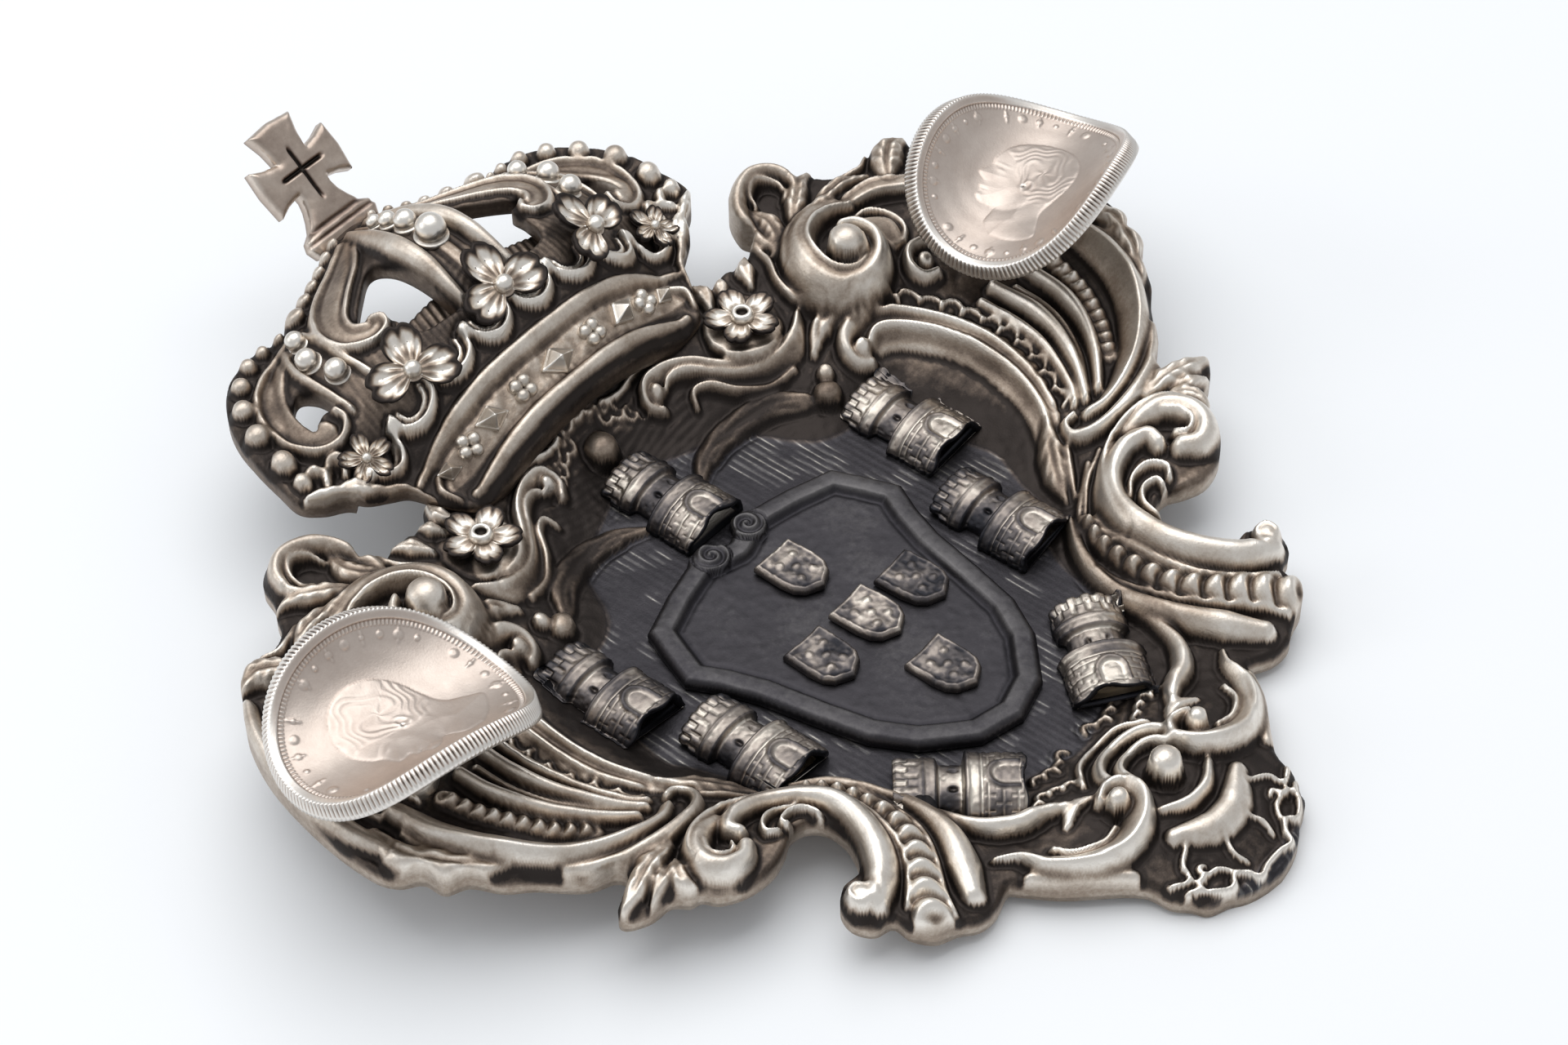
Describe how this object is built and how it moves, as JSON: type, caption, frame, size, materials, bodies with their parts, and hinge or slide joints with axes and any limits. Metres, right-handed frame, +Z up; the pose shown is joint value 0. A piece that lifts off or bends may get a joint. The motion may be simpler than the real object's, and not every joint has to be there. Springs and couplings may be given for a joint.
{
  "type": "heraldic dish",
  "caption": "Shallow cast silver dish in the shape of a scrolled cartouche under a crown and cross, with castles and shields on its field and two bent coins as rests on its shoulders.",
  "frame": {"origin": "centre of the flat underside below the inner shield, where the dish rests", "axes": "+Y towards the crown and cross, +Z up out of the dish, +X to the right seen from above with the crown at the top"},
  "size_m": [0.1476, 0.1627, 0.032],
  "materials": {
    "oxidised_silver": "cast and chased silver, dark in the recesses and rubbed bright on the crests",
    "polished_silver": "polished silver with light tarnish",
    "field_silver": "satin blue-black oxidised silver",
    "coin_silver": "struck silver coin, evenly toned, bright rim"
  },
  "bodies": {
    "root": {"arch_pearl_1": "polished_silver", "arch_pearl_10": "polished_silver", "arch_pearl_2": "polished_silver", "arch_pearl_3": "polished_silver", "arch_pearl_4": "polished_silver", "arch_pearl_5": "polished_silver", "arch_pearl_6": "polished_silver", "arch_pearl_7": "polished_silver", "arch_pearl_8": "polished_silver", "arch_pearl_9": "polished_silver", "body": "oxidised_silver", "circlet_cluster_1": "polished_silver", "circlet_cluster_2": "polished_silver", "circlet_cluster_3": "polished_silver", "circlet_cluster_4": "polished_silver", "circlet_stone_1": "polished_silver", "circlet_stone_2": "polished_silver", "circlet_stone_3": "polished_silver", "circlet_stone_4": "polished_silver", "circlet_stone_5": "polished_silver", "coin_left": "coin_silver", "coin_post_left": "oxidised_silver", "coin_post_right": "oxidised_silver", "coin_right": "coin_silver", "cross_finial": "polished_silver", "crown": "oxidised_silver", "crown_cap": "oxidised_silver", "floret_centre": "polished_silver", "floret_left": "polished_silver", "floret_outer_left": "polished_silver", "floret_outer_right": "polished_silver", "floret_pin_centre": "polished_silver", "floret_pin_left": "polished_silver", "floret_pin_outer_left": "polished_silver", "floret_pin_outer_right": "polished_silver", "floret_pin_right": "polished_silver", "floret_right": "polished_silver", "inner_shield": "field_silver", "rosette_eyelet_left": "polished_silver", "rosette_eyelet_right": "polished_silver", "rosette_left": "polished_silver", "rosette_right": "polished_silver", "small_shield_bottom": "oxidised_silver", "small_shield_centre": "oxidised_silver", "small_shield_left": "oxidised_silver", "small_shield_right": "oxidised_silver", "small_shield_top": "oxidised_silver", "tower_lower_left": "oxidised_silver", "tower_lower_right": "oxidised_silver", "tower_middle_left": "oxidised_silver", "tower_middle_right": "oxidised_silver", "tower_top": "oxidised_silver", "tower_upper_left": "oxidised_silver", "tower_upper_right": "oxidised_silver"}
  },
  "joints": []
}
